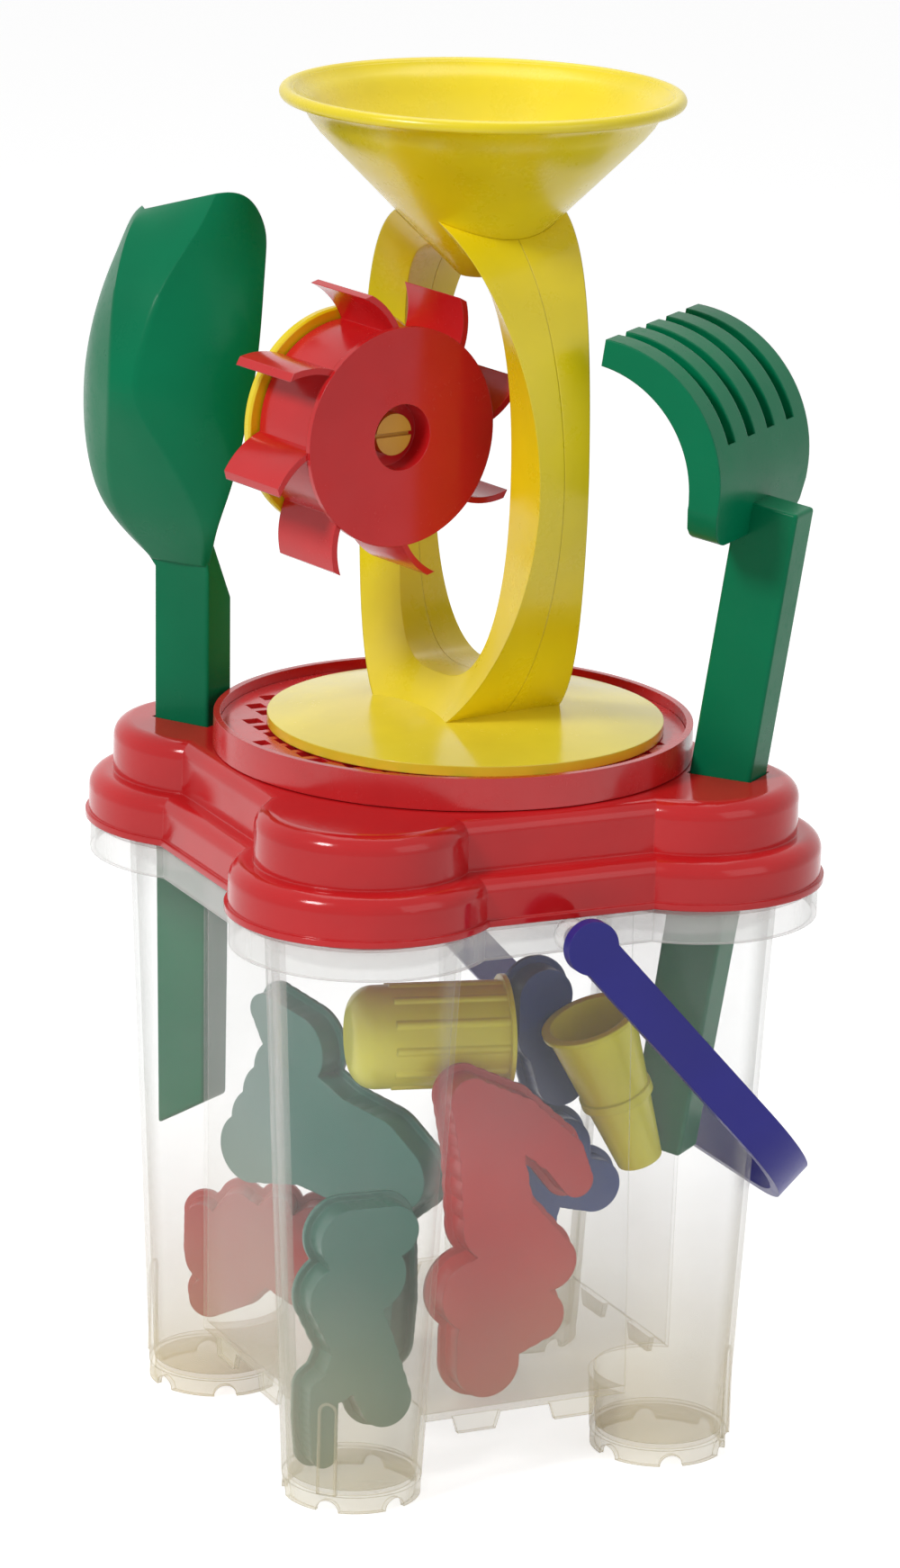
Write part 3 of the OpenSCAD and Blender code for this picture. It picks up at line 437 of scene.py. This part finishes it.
MATERIALS = {
    "clear_bucket": clear_plastic(),
    "blue_bail": moulded("blue_bail", BLUE, 0.34, shine=0.2),
    "red_lid": moulded("red_lid", RED, 0.11, edge=0.7 * MM, shine=0.28),
    "red_sieve": moulded("red_sieve", RED, 0.2, edge=0.3 * MM),
    # Base coloured a paler yellow, as painted sheen
    "yellow_base": moulded("yellow_base", BASE_YELLOW_PAINTED_SHEEN, 0.16),
    "yellow_hoop": moulded("yellow_hoop", YELLOW, 0.28),
    "yellow_funnel": moulded("yellow_funnel", YELLOW, 0.27),
    # Pin coloured yellow darkened to orange-brown, as painted shade
    "amber_pin": moulded("amber_pin", PIN_YELLOW_PAINTED_SHADE, 0.3, edge=0.3 * MM),
    "red_wheel": moulded("red_wheel", RED, 0.18, edge=0.4 * MM, shine=0.28),
    "green_shovel": moulded("green_shovel", GREEN, 0.3, edge=0.8 * MM, shine=0.1),
    "green_rake": moulded("green_rake", GREEN, 0.3, edge=0.9 * MM, shine=0.1),
    "green_mould": moulded("green_mould", MOULD_GREEN, 0.32, edge=0.8 * MM),
    "red_mould": moulded("red_mould", MOULD_RED, 0.32, edge=0.8 * MM),
    "yellow_mould": moulded("yellow_mould", MOULD_YELLOW, 0.32, edge=0.8 * MM),
    "blue_mould": moulded("blue_mould", MOULD_BLUE, 0.32, edge=0.8 * MM),
}


def dress_frame():
    """Gives every carried-over node the material of its slot."""
    for part in frame["record"]["subparts"]:
        mesh = nodes[part["node"]].data
        mesh.materials.clear()
        mesh.materials.append(MATERIALS[part["material_slot"]])


# Pieces


def piece(name, mesh, body, slot_name):
    """Puts a finished bmesh into the scene as a piece that rides on a body."""
    bmesh.ops.recalc_face_normals(mesh, faces=mesh.faces)
    data = bpy.data.meshes.new(name)
    mesh.to_mesh(data)
    mesh.free()
    for face in data.polygons:
        face.use_smooth = True
    data.set_sharp_from_angle(angle=math.radians(SHARP_ANGLE))
    data.materials.append(MATERIALS[slot_name])
    made = bpy.data.objects.new(name, data)
    bpy.context.scene.collection.objects.link(made)
    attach(made, body)
    return made


def round_edges(made, width, angle=ROUND_ANGLE):
    """Rounds the edges of a finished piece and evens out its shading."""
    bevel = made.modifiers.new("round", "BEVEL")
    bevel.width = width
    bevel.segments = ROUND_SEGMENTS
    bevel.limit_method = "ANGLE"
    bevel.angle_limit = math.radians(angle)
    bevel.harden_normals = True


def mill_frame():
    """The mill's own frame: its origin on the axis at the sieve floor, from the wheel's joint."""
    wheel = joints["wheel_spin"]
    axis = Vector(wheel["axis"]).normalized()
    yaw = math.atan2(axis.x, -axis.y)
    low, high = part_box("funnel")
    middle = (low + high) / 2
    sieve_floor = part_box("mill_base")[0].z - BASE_GAP
    return Matrix.Translation((middle.x, middle.y, sieve_floor)) @ Matrix.Rotation(yaw, 4, "Z")


def funnel():
    """Thin bell with a rolled lip, lathed from its outline."""
    low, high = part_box("funnel")
    outer = [Vector((radius * MM, -depth * MM)) for radius, depth in FUNNEL_OUTLINE]
    rim = Vector((high.x - low.x, 0)) / 2
    roll = rim + Vector((-FUNNEL_LIP, -FUNNEL_LIP))
    lip = [
        roll + FUNNEL_LIP * Vector((math.sin(math.radians(turn)), math.cos(math.radians(turn))))
        for turn in LIP_TURNS
    ]
    inner = [
        Vector((max(point.x - FUNNEL_WALL, SPOUT_BORE), point.y + FUNNEL_WALL / 2))
        for point in outer
    ]
    inner[-1].y = outer[-1].y
    outline = inner[:0:-1] + [inner[0]] + lip[::-1] + outer
    mesh = bmesh.new()
    rings = []
    centre = Vector(((low.x + high.x) / 2, (low.y + high.y) / 2, high.z))
    for step in range(TURNS):
        turn = Matrix.Rotation(2 * math.pi * step / TURNS, 4, "Z")
        rings.append(
            [mesh.verts.new(centre + turn @ Vector((point.x, 0, point.y))) for point in outline]
        )
    for step in range(TURNS):
        first, second = rings[step], rings[(step + 1) % TURNS]
        for k in range(len(outline)):
            after = (k + 1) % len(outline)
            mesh.faces.new((first[k], second[k], second[after], first[after]))
    made = piece("funnel_bell", mesh, "mill", "yellow_funnel")
    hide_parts("funnel")


def oval(half, power, turn):
    """Point of an oval that is squarer than an ellipse when the power is above 2."""
    c, s = math.cos(turn), math.sin(turn)
    return Vector(
        (
            half.x * math.copysign(abs(c) ** (2 / power), c),
            half.y * math.copysign(abs(s) ** (2 / power), s),
        )
    )


def half_width(width, flare, share):
    """Half width of the strap at a share of the hoop's half height."""
    return width / 2 + flare / 2 * share * share


def hoop_half(side, place):
    """One half of the strap as a closed ring of four-cornered sections."""
    mesh = bmesh.new()
    sections = []
    middle = HOOP_MID_ABOVE_SIEVE
    for station in range(HOOP_STATIONS):
        turn = 2 * math.pi * (station + 0.5) / HOOP_STATIONS
        out = oval(HOOP_OUT_HALF, HOOP_OUT_POWER, turn)
        inside = oval(HOOP_IN_HALF, HOOP_IN_POWER, turn)
        inside.y += HOOP_IN_UP
        wide = half_width(STRAP_WIDTH, STRAP_FLARE, out.y / HOOP_OUT_HALF.y)
        narrow = half_width(STRAP_IN_WIDTH, STRAP_IN_FLARE, inside.y / HOOP_OUT_HALF.y)
        seam = PARTING_GAP / 2
        corners = [(seam, out), (wide, out), (narrow, inside), (seam, inside)]
        sections.append(
            [mesh.verts.new(place @ Vector((side * x, at.x, middle + at.y))) for x, at in corners]
        )
    for station in range(HOOP_STATIONS):
        first, second = sections[station], sections[(station + 1) % HOOP_STATIONS]
        for k in range(4):
            after = (k + 1) % 4
            mesh.faces.new((first[k], first[after], second[after], second[k]))
    return mesh


def lathe(mesh, outline, matrix, turns=TURNS):
    """Adds a turned solid about the matrix's Z axis, from points of radius and height."""
    rings = []
    for step in range(turns):
        turn = Matrix.Rotation(2 * math.pi * step / turns, 4, "Z")
        rings.append([mesh.verts.new(matrix @ turn @ Vector((r, 0, h))) for r, h in outline])
    for step in range(turns):
        first, second = rings[step], rings[(step + 1) % turns]
        for k in range(len(outline) - 1):
            mesh.faces.new((first[k], second[k], second[k + 1], first[k + 1]))
    mesh.faces.new([ring[0] for ring in rings][::-1])
    mesh.faces.new([ring[-1] for ring in rings])


def cut_away(made, lowest):
    """Trims the hoop under the base's dome and inside the funnel."""
    low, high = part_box("funnel")
    centre = Vector(((low.x + high.x) / 2, (low.y + high.y) / 2, 0))
    cone = bmesh.new()
    outline = [(r * MM + PARTING_GAP, high.z - d * MM) for r, d in FUNNEL_OUTLINE[::-1]]
    outline.append((CONE_TOP_RADIUS, high.z + CONE_TOP_RISE))
    lathe(cone, outline, Matrix.Translation(centre))
    slab = bmesh.new()
    outline = [(SLAB_RADIUS, lowest - SLAB_DEPTH), (SLAB_RADIUS, lowest)]
    lathe(slab, outline, Matrix.Translation(centre), 4)
    for number, cutter in enumerate((cone, slab)):
        bmesh.ops.recalc_face_normals(cutter, faces=cutter.faces)
        data = bpy.data.meshes.new(f"cutter_{number}")
        cutter.to_mesh(data)
        cutter.free()
        tool = bpy.data.objects.new(f"cutter_{number}", data)
        bpy.context.scene.collection.objects.link(tool)
        boolean = made.modifiers.new("trim", "BOOLEAN")
        boolean.operation = "DIFFERENCE"
        boolean.solver = "EXACT"
        boolean.object = tool
        bpy.context.view_layer.update()
        evaluated = made.evaluated_get(bpy.context.evaluated_depsgraph_get())
        trimmed = bpy.data.meshes.new_from_object(evaluated)
        made.modifiers.clear()
        made.data = trimmed
        bpy.data.objects.remove(tool)
    for face in made.data.polygons:
        face.use_smooth = True
    made.data.set_sharp_from_angle(angle=math.radians(TRIM_ANGLE))


def hoop():
    """The two halves of the strap, and the guard, arm and boss that hold the wheel."""
    place = mill_frame()
    under_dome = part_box("mill_base")[0].z + DOME_COVER
    left = piece("hoop_left", hoop_half(-1, place), "mill", "yellow_hoop")
    cut_away(left, under_dome)
    right = piece("hoop_right", hoop_half(1, place), "mill", "yellow_hoop")
    cut_away(right, under_dome)
    wheel = joints["wheel_spin"]
    front = Vector(wheel["axis"]).normalized()
    hub = Vector(wheel["pos_m"])
    at_wheel = Matrix.Translation(hub) @ front.to_track_quat("Z", "Y").to_matrix().to_4x4()
    guard_front = WHEEL_BACK + GUARD_GAP
    guard_back = guard_front + GUARD_THICK
    reach = HOOP_IN_HALF.x + BOSS_SINK
    mesh = bmesh.new()
    disc = [
        (GUARD_RADIUS - EDGE_ROUND, -guard_front), (GUARD_RADIUS, -guard_front - EDGE_ROUND),
        (GUARD_RADIUS, EDGE_ROUND - guard_back), (GUARD_RADIUS - EDGE_ROUND, -guard_back),
    ]
    lathe(mesh, disc, at_wheel)
    boss = [(BOSS_RADIUS, EDGE_ROUND - guard_back), (BOSS_RADIUS, -reach)]
    lathe(mesh, boss, at_wheel, BOSS_TURNS)
    piece("wheel_guard", mesh, "mill", "yellow_hoop")
    inward = place.to_3x3() @ Vector((1, 0, 0))
    start = hub - front * (guard_back - ARM_OVERLAP)
    length = (place.translation - hub).dot(inward) - STRAP_IN_WIDTH / 2 + ARM_IN_LEG
    depth = reach - guard_back
    height = ARM_SHARE * GUARD_RADIUS
    mesh = bmesh.new()
    bmesh.ops.create_cube(mesh, size=1)
    for vertex in mesh.verts:
        x, y, z = vertex.co
        along = inward * ((x + 0.5) * length) - front * ((y + 0.5) * depth)
        vertex.co = start + along + Vector((0, 0, z * height))
    arm = piece("wheel_arm", mesh, "mill", "yellow_hoop")
    round_edges(arm, ARM_ROUND)
    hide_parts("hoop_half_left")
    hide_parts("hoop_half_right")


def tool_frame(place):
    """Frame of a tool that stands in a slot of the lid, turned and then tilted."""
    where, yaw, lean = place
    turned = Matrix.Rotation(math.radians(yaw), 4, "Z")
    return Matrix.Translation(where) @ turned @ Matrix.Rotation(math.radians(lean), 4, "Y")


def loft(mesh, rings):
    """Joins rings of as many corners each into one skin, with a face over each end."""
    rows = [[mesh.verts.new(point) for point in ring] for ring in rings]
    for first, second in zip(rows, rows[1:]):
        for k in range(len(first)):
            after = (k + 1) % len(first)
            mesh.faces.new((first[k], first[after], second[after], second[k]))
    mesh.faces.new(rows[0][::-1])
    mesh.faces.new(rows[-1])


def in_tool(place, x, y, height):
    """Point of a tool, from its X, its Y and its height above the floor before it leans."""
    return place @ Vector((x * MM, y * MM, (height - LID_TOP) * MM))


def shovel():
    """Scoop with a flat back between two ridges, on a neck that leans into the handle."""
    place = tool_frame(SHOVEL_PLACE)
    mesh = bmesh.new()
    grid = []
    for number, row in enumerate(SCOOP_ROWS):
        line = [(-u, deep, height) for u, deep, height in row[:0:-1]] + row
        ridge = row[RIDGE_COLUMN][0]
        slant = 0 if number else LIP_SLANT
        corners = []
        for u, deep, height in line:
            drop = slant * min(1, max(0, 0.5 - 0.5 * u / ridge))
            corners.append(mesh.verts.new(in_tool(place, u, -deep, height - drop)))
        grid.append(corners)
    for first, second in zip(grid, grid[1:]):
        for k in range(len(first) - 1):
            mesh.faces.new((first[k], first[k + 1], second[k + 1], second[k]))
    crease = mesh.edges.layers.float.new("crease_edge")
    last = len(grid[0]) - 1
    middle = last // 2
    for first, second in zip(grid, grid[1:]):
        for k in (0, middle - RIDGE_COLUMN, middle + RIDGE_COLUMN, last):
            mesh.edges.get((first[k], second[k]))[crease] = 1
    scoop = piece("shovel_scoop", mesh, "shovel", "green_shovel")
    smooth = scoop.modifiers.new("smooth", "SUBSURF")
    smooth.levels = smooth.render_levels = SCOOP_LEVELS
    wall = scoop.modifiers.new("wall", "SOLIDIFY")
    wall.thickness = SHOVEL_WALL
    wall.offset = -1
    wall.use_even_offset = True
    round_edges(scoop, EDGE_ROUND, RIM_ANGLE)
    mesh = bmesh.new()
    rings = [[
        in_tool(
            place,
            side * GRIP_END_HALF,
            deep * GRIP_DEEP_HALF,
            SHOVEL_END + (SHOVEL_END_RISE if side > 0 else 0),
        )
        for side, deep in CORNERS
    ]]
    for near_z, far_z, half, near, far in SHOVEL_NECK:
        rings.append([
            in_tool(place, side * half, *((-near, near_z) if deep < 0 else (-far, far_z)))
            for side, deep in CORNERS
        ])
    loft(mesh, rings)
    handle = piece("shovel_handle", mesh, "shovel", "green_shovel")
    round_edges(handle, TOOL_ROUND)
    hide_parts("shovel")
    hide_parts("shovel")


def rake_line():
    """Outer and inner points of the head's side, from its lower edge to the tine tips."""
    out_x, out_z, out_r = RAKE_OUT
    in_x, in_z, in_r = RAKE_IN
    pairs = []
    for step in range(RAKE_STRAIGHT_STEPS):
        share = step / RAKE_STRAIGHT_STEPS
        outer = (out_x + out_r, RAKE_LOW + (out_z - RAKE_LOW) * share)
        inner = (in_x + in_r, RAKE_LOW + (in_z - RAKE_LOW) * share)
        pairs.append((outer, inner))
    out_end = math.acos((RAKE_TIP_X - out_x) / out_r)
    in_end = math.acos((RAKE_TIP_X - in_x) / in_r)
    for step in range(RAKE_ARC_STEPS + 1):
        share = step / RAKE_ARC_STEPS
        a, b = out_end * share, in_end * share
        outer = (out_x + out_r * math.cos(a), out_z + out_r * math.sin(a))
        inner = (in_x + in_r * math.cos(b), in_z + in_r * math.sin(b))
        pairs.append((outer, inner))
    return pairs


def rake():
    """Curled head with five tines and round lower corners, on a straight handle."""
    place = tool_frame(RAKE_PLACE)
    pitch = (RAKE_WIDTH + TINE_GAP) / TINES
    across = [
        -RAKE_WIDTH / 2 + tine * pitch + (pitch - TINE_GAP) * column / (TINE_COLUMNS - 1)
        for tine in range(TINES)
        for column in range(TINE_COLUMNS)
    ]
    line = rake_line()
    mesh = bmesh.new()
    skins = []
    for side in range(2):
        rows = []
        for pair in line:
            x, height = pair[side]
            row = []
            for y in across:
                into = max(0, abs(y) - (RAKE_WIDTH / 2 - RAKE_CORNER))
                lift = RAKE_CORNER - math.sqrt(RAKE_CORNER**2 - into**2)
                share = max(0, (RAKE_OUT[1] - height) / (RAKE_OUT[1] - RAKE_LOW))
                row.append(mesh.verts.new(in_tool(place, x, y, height + lift * share + LID_TOP)))
            rows.append(row)
        skins.append(rows)
    outer, inner = skins
    used = {}
    for s in range(len(line) - 1):
        for k in range(len(across) - 1):
            if (k + 1) % TINE_COLUMNS == 0 and s >= RAKE_SLOT_STEP:
                continue
            corners = [(s, k), (s, k + 1), (s + 1, k + 1), (s + 1, k)]
            mesh.faces.new([outer[row][column] for row, column in corners])
            backward = corners[:1] + corners[:0:-1]
            mesh.faces.new([inner[row][column] for row, column in backward])
            for first, second in zip(corners, corners[1:] + corners[:1]):
                used.setdefault(tuple(sorted((first, second))), []).append((first, second))
    for ways in used.values():
        if len(ways) == 1:
            (s, k), (t, m) = ways[0]
            mesh.faces.new((outer[s][k], inner[s][k], inner[t][m], outer[t][m]))
    head = piece("rake_head", mesh, "rake", "green_rake")
    round_edges(head, TOOL_ROUND, RIM_ANGLE)
    mesh = bmesh.new()
    sections = (
        (RAKE_END, GRIP_END_HALF), (LID_TOP, GRIP_HALF), (LID_TOP + RAKE_HANDLE_TOP, GRIP_HALF),
    )
    rings = [
        [in_tool(place, side * half, deep * GRIP_DEEP_HALF, height) for side, deep in CORNERS]
        for height, half in sections
    ]
    loft(mesh, rings)
    handle = piece("rake_handle", mesh, "rake", "green_rake")
    round_edges(handle, TOOL_ROUND)
    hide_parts("rake")
    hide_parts("rake")


def loophole_highlight_beads():
    """A fine milky bead round each loophole of the towers, which paints the highlight along its edge."""
    half = LOOP_WIDTH / 2 - LOOP_BEAD
    spring = LOOP_HIGH - LOOP_WIDTH / 2
    path = [((-half, LOOP_LOW), (-1, 0))]
    for degrees in range(0, 181, BEAD_STEP):
        across = Vector((-math.cos(math.radians(degrees)), math.sin(math.radians(degrees))))
        path.append(((half * across.x, spring + half * across.y), across))
    path.append(((half, LOOP_LOW), (1, 0)))
    mesh = bmesh.new()
    for corner in range(4):
        place = (
            Matrix.Rotation(math.radians(90 * corner), 4, "Z")
            @ Matrix.Translation((-TOWER_AT * MM, -TOWER_AT * MM, 0))
            @ Matrix.Rotation(math.radians(-45), 4, "Z")
        )
        rings = []
        for (x, z), (side, rise) in path:
            ring = []
            for step in range(BEAD_SIDES):
                turn = 2 * math.pi * step / BEAD_SIDES
                out = LOOP_BEAD * math.cos(turn)
                ring.append(
                    place @ Vector((
                        (x + out * side) * MM,
                        (-LOOP_FACE - LOOP_BEAD * math.sin(turn)) * MM,
                        (z + out * rise) * MM,
                    ))
                )
            rings.append(ring)
        loft(mesh, rings)
    # The bead's milky clear plastic shows as a white line: a painted highlight on the loophole's edge
    piece("loophole_highlight_beads", mesh, "bucket", "clear_bucket")


# Stage


def seen_strength(tree, seen_directly, lighting):
    """One strength for what the camera and reflections see, and another for the light it gives."""
    path = tree.nodes.new("ShaderNodeLightPath")
    seen = path.outputs["Is Camera Ray"]
    for name in ("Is Glossy Ray", "Is Transmission Ray"):
        either = tree.nodes.new("ShaderNodeMath")
        either.operation = "MAXIMUM"
        tree.links.new(seen, either.inputs[0])
        tree.links.new(path.outputs[name], either.inputs[1])
        seen = either.outputs[0]
    lift = tree.nodes.new("ShaderNodeMapRange")
    lift.inputs["To Min"].default_value = lighting
    lift.inputs["To Max"].default_value = seen_directly
    tree.links.new(seen, lift.inputs["Value"])
    return lift.outputs["Result"]


def floor():
    """Pale floor that looks white to the camera and keeps the object's shadow."""
    mesh = bmesh.new()
    bmesh.ops.create_grid(mesh, x_segments=2, y_segments=2, size=FLOOR_HALF)
    data = bpy.data.meshes.new("floor")
    mesh.to_mesh(data)
    mesh.free()
    made = bpy.data.objects.new("floor", data)
    made.location.z = -FLOOR_DROP
    bpy.context.scene.collection.objects.link(made)
    material = bpy.data.materials.new("floor")
    material.use_nodes = True
    tree = material.node_tree
    shader = tree.nodes["Principled BSDF"]
    shader.inputs["Base Color"].default_value = (*FLOOR_GREY, 1)
    shader.inputs["Roughness"].default_value = FLOOR_ROUGHNESS
    shader.inputs["Specular IOR Level"].default_value = FLOOR_SHINE
    shader.inputs["Emission Color"].default_value = (1, 1, 1, 1)
    tree.links.new(seen_strength(tree, FLOOR_LIFT, 0), shader.inputs["Emission Strength"])
    data.materials.append(material)


def lamp(name, where, size, power, target):
    """Square soft lamp that points at its target."""
    data = bpy.data.lights.new(name, "AREA")
    data.size = size
    data.energy = power
    made = bpy.data.objects.new(name, data)
    made.location = where
    made.rotation_mode = "QUATERNION"
    made.rotation_quaternion = (target - where).to_track_quat("-Z", "Y")
    bpy.context.scene.collection.objects.link(made)


def view_axes():
    """Right, up and back of the camera before its roll."""
    a, e = math.radians(VIEW_AZIMUTH), math.radians(VIEW_ELEVATION)
    back = Vector((math.sin(a) * math.cos(e), -math.cos(a) * math.cos(e), math.sin(e)))
    right = Vector((math.cos(a), math.sin(a), 0))
    return right, back.cross(right), back


def studio():
    """Lamps placed from the view, and a world that gives less light than it shows."""
    right, _, back = view_axes()
    middle = Vector((0, 0, AIM_HEIGHT))
    for name, behind, aside, above, size, power in LAMPS:
        where = middle + back * behind + right * aside + Vector((0, 0, above))
        lamp(name, where, size, power, middle)
    world = bpy.data.worlds.new("studio")
    world.use_nodes = True
    background = world.node_tree.nodes["Background"]
    background.inputs["Color"].default_value = (1, 1, 1, 1)
    strength = seen_strength(world.node_tree, 1, WORLD_LIGHT)
    world.node_tree.links.new(strength, background.inputs["Strength"])
    bpy.context.scene.world = world


def camera():
    """Camera of the photograph, with its roll."""
    right, up, back = view_axes()
    roll = math.radians(VIEW_ROLL)
    across = right * math.cos(roll) + up * math.sin(roll)
    upward = up * math.cos(roll) - right * math.sin(roll)
    data = bpy.data.cameras.new("camera")
    data.sensor_fit = "VERTICAL"
    data.sensor_height = SENSOR_MM
    data.sensor_width = SENSOR_MM
    data.lens = FOCAL_PIXELS / IMAGE_HEIGHT * SENSOR_MM
    data.clip_start = CLIP_START
    made = bpy.data.objects.new("camera", data)
    place = right * AIM_RIGHT + Vector((0, 0, AIM_HEIGHT)) + back * VIEW_DISTANCE
    turned = Matrix((across, upward, back)).transposed().to_4x4()
    made.matrix_world = Matrix.Translation(place) @ turned
    bpy.context.scene.collection.objects.link(made)
    bpy.context.scene.camera = made


dress_frame()
funnel()
hoop()
shovel()
rake()
loophole_highlight_beads()
floor()
studio()
camera()
bpy.context.scene.view_settings.view_transform = "Standard"
bpy.context.scene.cycles.transparent_max_bounces = CLEAR_BOUNCES
